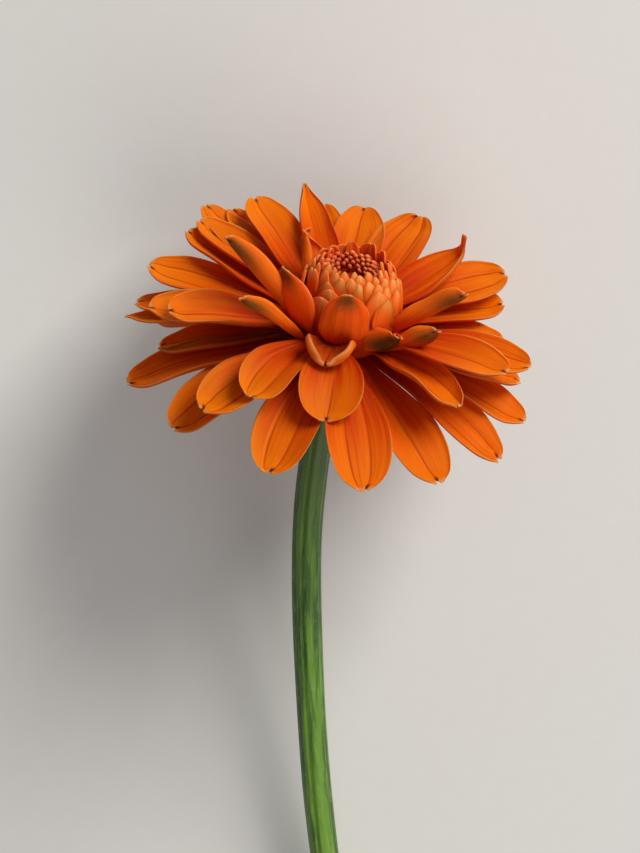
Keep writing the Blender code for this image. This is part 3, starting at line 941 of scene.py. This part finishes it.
def petal_skin(name, claw, blade, tip, reverse, patch, patch_share, patch_along=(0.45, 0.85)):
    """Fresh petal tissue: thin, soft and let through by light, so that it glows.

    Tiny domed cells make it velvety, with no clear highlight.  Fine veins run
    along it, its rim is painted pale as a highlight and the very end is scorched
    brown.  The back is duller, with a patch that differs from one kind of petal to
    another.  The colours are those of the claw, the blade, the tip, the back and its
    patch; the claw's deep red is partly the petal's own and partly painted shade.
    """
    skin = new_material(name)
    along, across, own, underside, own_patch, notch = [
        node(skin, "ShaderNodeAttribute", {"attribute_name": mark}, "Fac")
        for mark in ("along", "across", "own", "underside", "patch", "notch")
    ]
    sides = node(skin, "ShaderNodeMath", {"operation": "ABSOLUTE", 0: across})
    shift = node(skin, "ShaderNodeMath", {"operation": "MULTIPLY", 0: own, 1: RAY_PATTERN_SHIFT})
    place = node(skin, "ShaderNodeCombineXYZ", {"X": across, "Y": along, "Z": shift})
    patterns = []
    for wide, long, detail, roughness in (RAY_VEINS, RAY_STREAKS, RAY_LINES):
        scale = (RAY_MEAN_WIDTH / 2 / wide, RAY_MEAN_LENGTH / long, 1.0)
        patterns.append(drawn_out(skin, place, scale, detail, roughness))
    veins, streaks, lines = patterns
    spot = node(skin, "ShaderNodeTexCoord", {}, "Object")
    cells = node(skin, "ShaderNodeTexNoise", {"Vector": spot, "Scale": CELLS_PER_MM / MM, "Detail": 1.0})
    on_blade = (along, 0.06, 0.70, 1.0)
    toward_tip = (along, 0.45, 1.0, 1.0)
    on_veins = (veins, 0.48, 0.74, 0.6)
    painted_groove_shade = (off_groove(skin), 0.065, 0.0, 1.0)

    # The claw's deep red, on both faces, is partly the petal's own colour and partly painted shade where the
    # rays crowd at their base
    upper = overlay(skin, linear(claw), blade, on_blade)
    upper = overlay(skin, upper, tip, toward_tip)
    upper = overlay(skin, upper, tip, (streaks, 0.44, 0.66, 0.55), on_blade)
    upper = overlay(skin, upper, "#dcaa98", on_veins, way="MULTIPLY")
    upper = overlay(skin, upper, tip, (lines, 0.48, 0.74, 0.30))
    # Painted shade in the grooves, along the middle of the blade
    upper = overlay(skin, upper, "#c07450", painted_groove_shade, (along, 0.30, 0.85, 0.8), way="MULTIPLY")
    upper = overlay(skin, upper, "#ecd0c8", (own, 0.1, 1.0, 0.5), way="MULTIPLY")

    # The back of the petal
    strength = node(skin, "ShaderNodeMath", {"operation": "MULTIPLY", 0: own_patch, 1: patch_share})
    back = overlay(skin, linear(claw), reverse, on_blade)
    back = overlay(skin, back, patch, (sides, 0.95, 0.25, 1.0), (along, *patch_along, strength))
    back = overlay(skin, back, "#d98a50", (cells, 0.52, 0.75, 0.25))
    back = overlay(skin, back, "#dcb4a4", on_veins, way="MULTIPLY")

    tone = node(skin, "ShaderNodeMix", {
        "data_type": "RGBA",
        MIX_SHARE: cover(skin, (underside, 0.45, 0.60, 1.0)),
        MIX_UNDER: upper,
        MIX_OVER: back,
    }, MIX_RESULT)
    # The pale rim along the sides toward the tip and at the end is a painted highlight on the thin edge
    rim = node(skin, "ShaderNodeMath", {
        "operation": "MAXIMUM",
        0: cover(skin, (sides, 0.92, 1.0, 0.55), toward_tip),
        1: cover(skin, (along, 0.97, 1.0, 0.7)),
    })
    tone = node(skin, "ShaderNodeMix", {
        "data_type": "RGBA", MIX_SHARE: rim, MIX_UNDER: tone, MIX_OVER: linear("#f0a868"),
    }, MIX_RESULT)
    aside = node(skin, "ShaderNodeMath", {"operation": "SUBTRACT", 0: across, 1: notch})
    off_notch = node(skin, "ShaderNodeMath", {"operation": "ABSOLUTE", 0: aside})
    tone = overlay(skin, tone, "#4a1c0a", (along, 0.95, 0.985, 1.0), (off_notch, 0.24, 0.08, 1.0))

    ribs = node(skin, "ShaderNodeBump", {"Height": veins, "Strength": 0.5, "Distance": 0.25 * MM})
    velvet = node(skin, "ShaderNodeBump", {
        "Height": cells, "Strength": 0.25, "Distance": 0.08 * MM, "Normal": ribs,
    })
    shader = node(skin, "ShaderNodeBsdfPrincipled", {
        "Base Color": tone,
        "Roughness": 0.55,
        "IOR": 1.40,
        "Specular IOR Level": 0.10,
        "Subsurface Weight": 0.50,
        "Subsurface Radius": (1.0, 0.22, 0.05),
        "Subsurface Scale": 1.6 * MM,
        "Sheen Weight": 0.02,
        "Sheen Roughness": 0.4,
        "Sheen Tint": linear("#ff9a50"),
        "Normal": velvet,
    })
    node(skin, "ShaderNodeOutputMaterial", {"Surface": shader})
    return skin


# The open rays' dark claw colour is partly painted shade at their base
open_petal = petal_skin("open_petal_tissue", "#a01402", "#d84800", "#f47c04", "#c85a12", "#a8703a", 0.35)
resting = [resting_ray(azimuth) for azimuth in RESTING_AZIMUTHS]
outer_rays = join_sheets("outer_rays", ray_sheets(OUTER_RAYS) + ray_sheets(resting, hook=0.0), open_petal)
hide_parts("ray_florets")

# Second whorl
# Level rays that fill the gaps over the outer ones, grown a little higher on the
# receptacle.
SECOND_RAYS = (
    (-153, 13, 34.0, 8.5, -10, 30, 2, 0),
    (-139, 16, 35.5, 8.5, -10, 30, 3, 0),
    (-131, 16, 38.0, 9.0, -10, 30, 2, 0),
    (-118, 15, 34.5, 9.0, -10, 30, 2, 0),
    (-106, 6, 36.5, 10.0, -8, 30, 3, -18),
    (-101, -4, 37.0, 8.5, -15, 30, 3, -10),
    (-81, 5, 33.5, 10.0, -15, 40, 2, -15),
    (-46, -15, 29.5, 11.5, -18, 35, 1, -10),
    (77, 5, 34.8, 10.5, -18, 40, 2, 15),
    (94, 5, 29.5, 9.5, -15, 35, 2, 5),
    (108, -1, 29.5, 9.0, -10, 35, 1, 0),
    (108, 12, 30.8, 10.0, -12, 35, 3, 15),
    (126, 8, 32.5, 9.0, -12, 35, 2, 0),
    (141, 9, 29.5, 9.0, -12, 35, 2, 0),
    (167, 14, 31.5, 9.0, -12, 35, 2, 0),
    (-170, 21, 32.5, 8.5, -8, 35, 2, 0),
)
second_rays = join_sheets("second_rays", ray_sheets(SECOND_RAYS), open_petal)
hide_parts("ray_florets")

# Third whorl
# The youngest open rays, of the same soft tissue.  They grow out of the receptacle
# over the second whorl, rise behind the bud and arch out low before it.
THIRD_RAYS = (
    (-144, 23, 34.0, 10.0, -8, 35, 4, 0),
    (-124, 17, 34.5, 9.5, -10, 35, 4, 0),
    (-74, 9, 31.0, 10.5, -18, 40, 3, -15),
    (-34, -8, 24.0, 10.5, -40, 35, 2, -10),
    (1, -13, 22.0, 12.0, -60, 35, 2, 0),
    (50, 0, 29.5, 9.0, -20, 70, 2, 15),
    (64, 8, 33.0, 10.5, -20, 35, 3, 10),
    (114, 18, 33.2, 11.0, -12, 30, 4, 18),
    (157, 23, 33.0, 11.0, -8, 30, 3, 0),
    (176, 24, 31.5, 10.0, -8, 30, 3, 0),
)
third_rays = join_sheets("third_rays", ray_sheets(THIRD_RAYS), open_petal)
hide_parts("ray_florets")

# Folded rays
# Three rays whose sides close up along them, so that they end in a point.  The
# point of one is hooked.
FOLDED_RAYS = (
    (-162, 28, 34.0, 8.5, -10, 70, 4, 0),
    (-98, -7, 38.5, 8.5, -15, 30, 2, -10),
)
HOOKED_RAY = (123, 31, 30.2, 9.8, 32, 60, 5, 15)
HOOK = 4.0
folded_width = blade_width(widest_at=0.5, claw=CLAW_WIDTH, end=0.10, blunt=1.8, power=0.85)
hooked_width = blade_width(widest_at=0.5, claw=CLAW_WIDTH, end=0.15, blunt=1.8, power=0.85, point=0.96)
folded_rays = join_sheets(
    "folded_rays",
    ray_sheets(FOLDED_RAYS, notch=0.004, width=folded_width)
    + ray_sheets([HOOKED_RAY], hook=HOOK, notch=0.0, width=hooked_width),
    open_petal,
)
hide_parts("ray_florets")

# Quilled rays
# Rays that have not opened flat.  Each is still rolled into a tube, so that it shows
# its downy olive back and its frilled end stands up.  One behind the bud is crumpled.
QUILLED_RAYS = (
    (-69, 42, 30.0, 7.5, -5, 120, 1, 40),
    (-50, 29, 25.0, 5.6, -5, 130, 0, 40),
    (59, 25, 22.0, 7.5, 45, 110, 1, -45),
    (74, 34, 26.4, 8.0, 5, 110, 1, -45),
)
CRUMPLED_RAY = (-134, 52, 20.5, 6.6, 15, 110, 5, 30)
ROLLED_COLUMNS = 33
# Its back is a brighter orange than the open rays' back: painted light that lifts the shade on the rolled
# tubes
rolled_petal = petal_skin(
    "rolled_petal_tissue", "#d83a02", "#e05a02", "#f08020", "#ff7410", "#60461a", 0.9, (0.50, 0.90),
)
quilled_rays = join_sheets(
    "quilled_rays",
    ray_sheets(QUILLED_RAYS, depth=0.18, ruffle=0.25, hook=0.3, curl=0.2, notch=0.022,
               columns=ROLLED_COLUMNS)
    + ray_sheets([CRUMPLED_RAY], depth=0.3, ruffle=1.1, hook=1.4, curl=0.5, notch=0.04,
                 columns=ROLLED_COLUMNS),
    rolled_petal,
)
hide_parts("ray_florets")

# Boat ray
# A short ray of the same tissue at the bud's foot, still folded up like a boat.  Its
# back faces out from the bud and has the most olive of all.
BOAT_RAY = (44, 27, 17.2, 10.4, 40, 110, 1, -45)
boat_width = blade_width(widest_at=0.5, claw=CLAW_WIDTH, end=0.2, blunt=1.8, power=0.85)
boat_petal = petal_skin(
    "boat_petal_tissue", "#d83a02", "#e05a02", "#f08020", "#f8600c", "#54380f", 1.0, (0.25, 0.62),
)
boat_ray = join_sheets(
    "boat_ray",
    ray_sheets([BOAT_RAY], depth=0.12, ruffle=0.1, hook=0.0, curl=0.1, notch=0.008,
               width=boat_width, columns=ROLLED_COLUMNS),
    boat_petal,
)
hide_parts("ray_florets")

# Spoon ray
# One short ray before the bud has curled up like a spoon, and shows its thick pale
# rim over a dark hollow.
SPOON_RAY = (-3, 10, 15.5, 12.0, 10, 85, 3, 0)
SPOON_THICKNESS = 1.2
SPOON_COLUMNS = 41
# Its colours are darker than the open rays': painted shade for the hollow under the bud
spoon_petal = petal_skin("spoon_petal_shaded_tissue", "#7a1602", "#9c2a04", "#c04c0a", "#dd6810", "#a8703a", 0.3)
spoon_ray = join_sheets(
    "spoon_ray",
    ray_sheets([SPOON_RAY], depth=0.2, ruffle=0.35, hook=0.2, curl=0.4, notch=0.012,
               columns=SPOON_COLUMNS, thickness=SPOON_THICKNESS),
    spoon_petal,
)
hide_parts("ray_florets")

# Short rays
# Two broad young rays that still clasp the bud from outside.  They are as thin and
# soft as the others, grow out beside its foot, and have olive high on their backs.
SHORT_RAYS = (
    (-62, 53, 18.6, 12.5, 75, 60, 3, 10),
    (8, 56, 16.2, 9.4, 90, 34, 2, 0),
)
short_width = blade_width(widest_at=0.5, claw=0.5, end=0.2, blunt=2.6, power=0.55)
# Their colours are brighter than the open rays': painted light for the glow through the thin tissue
clasping_petal = petal_skin(
    "clasping_petal_glow_tissue", "#e43a02", "#ea4c04", "#f08030", "#ff5a06", "#5c400f", 0.9, (0.68, 0.93),
)
short_rays = join_sheets(
    "short_rays",
    ray_sheets(SHORT_RAYS, depth=0.16, ruffle=0.2, hook=-0.7, curl=0.1, notch=0.0,
               width=short_width, columns=ROLLED_COLUMNS),
    clasping_petal,
)
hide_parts("ray_florets")

# Bud florets
# The unopened rays, which overlap like scales over the bud.  On the near side they
# close over its top, and on the far side they stand open like a ragged crown.
GOLDEN_ANGLE = 137.508
BUD_FLORETS = 78
# From the lowest floret to the highest: width, rise of the root on the bud's egg,
# degrees from there to the tip, lift of the tip off the egg, keel and paleness
BUD_WIDTHS = (8.6, 2.1)
BUD_ROOT_RISES = (-8, 46)
BUD_SPANS = (44, 26)
BUD_TIP_LIFTS = (1.3, 1.0)
BUD_KEEL_SHARES = (1.2, 0.8)
BUD_PALENESS = (0.35, 1.0)
# On the high side, the far one, the tips are lifted more and the florets open more
BUD_HIGH_SIDE = 165
BUD_HIGH_LIFT = 3.2
BUD_OPENING = 15
BUD_ROOT_DEPTH = -1.3
BUD_CUP = 26
BUD_NOTCH = 0.035
BUD_KEEL_LIMITS = (0.12, 0.3)
BUD_KEEL_MEAN = 0.5
BUD_WAVE = 0.08
BUD_BEAT = 1.3
BUD_END_WIDTH = 0.08
BUD_FOOT_WIDTH = 0.66
BUD_THICKNESS = 0.45
BUD_POINTS = (22, 15)
# Florets are left out this many degrees to each side of a short ray, in this lower
# share of the bud
SHORT_RAY_ROOM = 26
SHORT_RAY_LEVEL = 0.5


def bud_width(high):
    """A bud floret's share of its width: a gable where it closes, round where open."""

    def width(s):
        end = blend((1 - s ** 3.6) ** 0.8, (1 - s ** 7) ** 0.5, high)
        return blend(BUD_END_WIDTH, 1.0, end * blend(BUD_FOOT_WIDTH, 1.0, ease(s, 0.0, 0.5)))

    return width


def bud_relief(keel, phase):
    """A soft keel down the back, which parts the floret's tip into two planes."""

    def relief(s, v):
        rise = keel * (np.abs(v) ** 0.8 - BUD_KEEL_MEAN) * ease(s, 0.25, 0.8)
        wave = BUD_WAVE * np.sin(2 * math.pi * (BUD_BEAT * s + phase)) * v ** 2
        return rise + wave, v + 0 * s

    return relief


def crowded(azimuth):
    """Whether a short ray stands close to that azimuth."""
    room = math.cos(math.radians(SHORT_RAY_ROOM))
    return any(math.cos(math.radians(azimuth - ray[0])) > room for ray in SHORT_RAYS)


def make_bud():
    """The closed florets, lowest first, on a golden-angle spiral."""
    sheets = []
    for k in range(BUD_FLORETS):
        t = k / (BUD_FLORETS - 1)
        low = blend(*BUD_ROOT_RISES, t)
        if t < SHORT_RAY_LEVEL and crowded(k * GOLDEN_ANGLE):
            continue
        high = math.cos(math.radians(k * GOLDEN_ANGLE - BUD_HIGH_SIDE) / 2) ** 4
        span = blend(*BUD_SPANS, t) - BUD_OPENING * high * t
        root = bud_point(low, BUD_ROOT_DEPTH)
        lift = blend(*BUD_TIP_LIFTS, t) + BUD_HIGH_LIFT * high * t + between(-0.2, 0.45)
        tip = bud_point(low + span + between(-3.5, 3.0), lift)
        shape = {
            "width": bud_width(high),
            "thickness": BUD_THICKNESS,
            "end": notched_end(BUD_NOTCH * high * t, (-0.5, 0.5)),
            "relief": bud_relief(
                keel=between(*BUD_KEEL_LIMITS) * blend(*BUD_KEEL_SHARES, t),
                phase=float(draw.random()),
            ),
            "sweep": between(-0.3, 0.3),
            "own": float(draw.random()),
            "groove_at": 0.5,
            "patch": blend(*BUD_PALENESS, t) * between(0.8, 1.2),
        }
        width = blend(*BUD_WIDTHS, t) * between(0.92, 1.08)
        place = (k * GOLDEN_ANGLE, root, tip, width, span, BUD_CUP, between(-13, 13))
        points, faces, marks = sheet_of(place, shape, *BUD_POINTS)
        sheets.append((beside(points), faces, marks))
    return sheets


# The patch on the back of these is not olive but a pale, downy orange
# The upper colours are the florets' own red-orange, brightened as painted light for the glow through their
# shaded inner faces
bud_petal = petal_skin(
    "bud_petal_tissue", "#dc3804", "#ee4a08", "#f26420", "#f8600c", "#ffb060", 0.95, (0.56, 0.97),
)
bud = join_sheets("bud_florets", make_bud(), bud_petal)
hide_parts("ray_florets")

# Centre florets
# The youngest florets, still closed: small waxy grains, red-brown with pale orange
# ends, that grow from a shallow dish and lean in to a dark pit.
GRAINS = 78
GRAIN_SIDES = 10
GRAIN_RINGS = 9
# From the innermost grain to the outermost: radius, length, how far its end stands
# from the pit's middle, and how much it leans in
GRAIN_RADII = (0.42, 0.72)
GRAIN_LENGTHS = (1.4, 2.4)
GRAIN_FIELD = (1.3, 4.5)
GRAIN_LEANS = (20, 52)
GRAIN_FLATNESS = 0.78
GRAIN_STAND = 0.6
GRAIN_TAPER = 0.25
GRAIN_LEAST_SECTION = 0.02
GRAIN_CREASES = 5
GRAIN_CREASE_DEPTH = 0.10
GRAIN_MOTTLES_PER_MM = 1.5
DISH_SIDES = 48
DISH_STEPS = 4
DISH_FLOOR = 12.7
DISH_RISE = 1.1
DISH_TILT = 1.0
# The dish's profile, by height and radius
DISH = ((12.0, 4.7), (12.3, 4.5), (12.3, 3.4), (12.0, 2.0), (11.2, 1.2), (10.9, 0.4))


def grain_tissue():
    """Closed floret tissue: waxy red-brown that pales to an orange tip."""
    tissue = new_material("closed_floret_tissue")
    along, own = [
        node(tissue, "ShaderNodeAttribute", {"attribute_name": mark}, "Fac")
        for mark in ("along", "own")
    ]
    spot = node(tissue, "ShaderNodeTexCoord", {}, "Object")
    mottle = node(tissue, "ShaderNodeTexNoise", {"Vector": spot, "Scale": GRAIN_MOTTLES_PER_MM / MM})
    tone = overlay(tissue, linear("#961c04"), "#ff9054", (along, 0.35, 1.0, 1.0))
    tone = overlay(tissue, tone, "#e8a898", (own, 0.0, 1.0, 0.6), way="MULTIPLY")
    tone = overlay(tissue, tone, "#d8501c", (mottle, 0.45, 0.75, 0.4))
    relief = node(tissue, "ShaderNodeBump", {"Height": mottle, "Strength": 0.3, "Distance": 0.1 * MM})
    shader = node(tissue, "ShaderNodeBsdfPrincipled", {
        "Base Color": tone,
        "Roughness": 0.50,
        "IOR": 1.42,
        "Specular IOR Level": 0.15,
        "Subsurface Weight": 0.2,
        "Subsurface Radius": (1.0, 0.35, 0.15),
        "Subsurface Scale": 0.6 * MM,
        "Normal": relief,
    })
    node(tissue, "ShaderNodeOutputMaterial", {"Surface": shader})
    return tissue


def make_grains():
    """The grains and their dish, as two pieces."""
    all_points = []
    faces = []
    marks = {"along": [], "own": []}
    count = 0
    for k in range(GRAINS):
        share = math.sqrt((k + 0.5) / GRAINS)
        azimuth = k * GOLDEN_ANGLE
        radius = blend(*GRAIN_FIELD, share)
        lean = math.radians(blend(*GRAIN_LEANS, share) + between(-6, 6))
        outward = turned(azimuth, 1.0, 0.0)
        axis = np.array((0.0, 0.0, 1.0))
        along = axis * math.cos(lean) - outward * math.sin(lean)
        over = axis * math.sin(lean) + outward * math.cos(lean)
        side = np.cross(along, over)
        length = blend(*GRAIN_LENGTHS, share) * between(0.9, 1.1)
        thick = blend(*GRAIN_RADII, share) * between(0.9, 1.1)
        share_out = radius / GRAIN_FIELD[1]
        tilt = -DISH_TILT * math.cos(math.radians(azimuth)) * share_out
        height = DISH_FLOOR + DISH_RISE * share_out ** 2 + tilt + GRAIN_STAND
        top = outward * radius + axis * height
        own = float(draw.random())
        for i in range(GRAIN_RINGS):
            s = i / (GRAIN_RINGS - 1)
            round_end = math.sqrt(max(GRAIN_LEAST_SECTION, 1 - (2 * s - 1) ** 2))
            size = thick * round_end * (1 - GRAIN_TAPER * s)
            turn = 2 * math.pi * np.arange(GRAIN_SIDES)[:, None] / GRAIN_SIDES
            crease = 1 + GRAIN_CREASE_DEPTH * np.cos(GRAIN_CREASES * turn)
            section = (over * np.cos(turn) * GRAIN_FLATNESS + side * np.sin(turn)) * size * crease
            all_points.append(top + along * (s - 1) * length + section)
            marks["along"] += [s] * GRAIN_SIDES
            marks["own"] += [own] * GRAIN_SIDES
        for i in range(GRAIN_RINGS - 1):
            for j in range(GRAIN_SIDES):
                a = count + i * GRAIN_SIDES + j
                b = count + i * GRAIN_SIDES + (j + 1) % GRAIN_SIDES
                faces.append((a, a + GRAIN_SIDES, b + GRAIN_SIDES, b))
        last = count + (GRAIN_RINGS - 1) * GRAIN_SIDES
        faces.append(tuple(range(count, count + GRAIN_SIDES)))
        faces.append(tuple(range(last, last + GRAIN_SIDES))[::-1])
        count += GRAIN_RINGS * GRAIN_SIDES
    tissue = grain_tissue()
    points = beside(np.concatenate(all_points))
    grains = make_piece("centre_grains", place_head(points), faces, marks, tissue)
    points, faces = turned_points(DISH, DISH_SIDES, DISH_STEPS)
    blank = np.zeros(len(points))
    marks = {"along": blank, "own": blank}
    dish = make_piece("centre_dish", place_head(beside(points)), faces, marks, tissue)
    return grains, dish


for piece in make_grains():
    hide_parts("centre_florets")

# Table and light
# A plain pale table under the flower, a large soft lamp beyond the bloom, as high
# over it as in the photograph, a weak one before it, and a camera over the bloom.
CAMERA_DISTANCE = 417.0
FOCAL_PIXELS = 2369.0
FRAME_WIDE, FRAME_HIGH = 640, 853
HEAD_PIXEL = (336, 340)
SENSOR = 36.0
CLIP_START = 0.01
TABLE_SIZE = 6.0
TABLE_SHADES_PER_MM = 0.3
ROOM_COLOUR = (0.9, 0.95, 1.0, 1.0)
ROOM_STRENGTH = 0.16


def table_paint():
    """Matt painted board: pale, even and without shine."""
    paint = new_material("matt_white_paint")
    spot = node(paint, "ShaderNodeTexCoord", {}, "Object")
    shade = node(paint, "ShaderNodeTexNoise", {"Vector": spot, "Scale": TABLE_SHADES_PER_MM / MM})
    tone = node(paint, "ShaderNodeMix", {
        "data_type": "RGBA",
        MIX_SHARE: shade,
        MIX_UNDER: linear("#eceae6"),
        MIX_OVER: linear("#efedea"),
    }, MIX_RESULT)
    shader = node(paint, "ShaderNodeBsdfPrincipled", {"Base Color": tone, "Roughness": 0.9, "IOR": 1.45})
    node(paint, "ShaderNodeOutputMaterial", {"Surface": shader})
    return paint


def soft_lamp(name, place, size, power, colour):
    """A square soft lamp that points at the bloom."""
    lamp = bpy.data.objects.new(name, bpy.data.lights.new(name, "AREA"))
    lamp.data.size = size
    lamp.data.energy = power
    lamp.data.color = colour
    lamp.location = place
    aim = Vector(HEAD_CENTRE * MM) - lamp.location
    lamp.rotation_euler = aim.to_track_quat("-Z", "Y").to_euler()
    bpy.context.scene.collection.objects.link(lamp)


def place_camera():
    """The camera over the bloom, at the photograph's angle and distance."""
    camera = bpy.data.objects.new("camera", bpy.data.cameras.new("camera"))
    camera.data.sensor_width = SENSOR
    camera.data.lens = SENSOR * FOCAL_PIXELS / FRAME_HIGH
    camera.data.clip_start = CLIP_START
    turn = Matrix.Rotation(math.radians(-HEAD_DIP), 3, "X")
    toward = turn @ Vector((0, 0, 1))
    up = turn @ Vector((0, 1, 0))
    right = Vector((1, 0, 0))
    pixel = CAMERA_DISTANCE * MM / FOCAL_PIXELS
    place = Vector(HEAD_CENTRE * MM) + toward * CAMERA_DISTANCE * MM
    place -= right * (HEAD_PIXEL[0] - FRAME_WIDE / 2) * pixel
    place += up * (HEAD_PIXEL[1] - FRAME_HIGH / 2) * pixel
    matrix = Matrix((right, up, toward)).transposed().to_4x4()
    matrix.translation = place
    camera.matrix_world = matrix
    bpy.context.scene.collection.objects.link(camera)
    bpy.context.scene.camera = camera


floor_mesh = bpy.data.meshes.new("table")
half = TABLE_SIZE / 2
corners = [(-half, -half, 0), (half, -half, 0), (half, half, 0), (-half, half, 0)]
floor_mesh.from_pydata(corners, [], [(0, 1, 2, 3)])
floor_mesh.materials.append(table_paint())
table = bpy.data.objects.new("table", floor_mesh)
bpy.context.scene.collection.objects.link(table)
soft_lamp("key_lamp", place=(0.88, 1.15, 0.88), size=0.8, power=24.5, colour=(1.0, 0.97, 0.92))
soft_lamp("fill_lamp", place=(0.42, -0.50, 0.72), size=0.8, power=3.2, colour=(1.0, 0.95, 0.90))
world = bpy.data.worlds.new("studio")
world.use_nodes = True
world.node_tree.nodes["Background"].inputs["Color"].default_value = ROOM_COLOUR
world.node_tree.nodes["Background"].inputs["Strength"].default_value = ROOM_STRENGTH
bpy.context.scene.world = world
bpy.context.scene.view_settings.view_transform = "Standard"
place_camera()
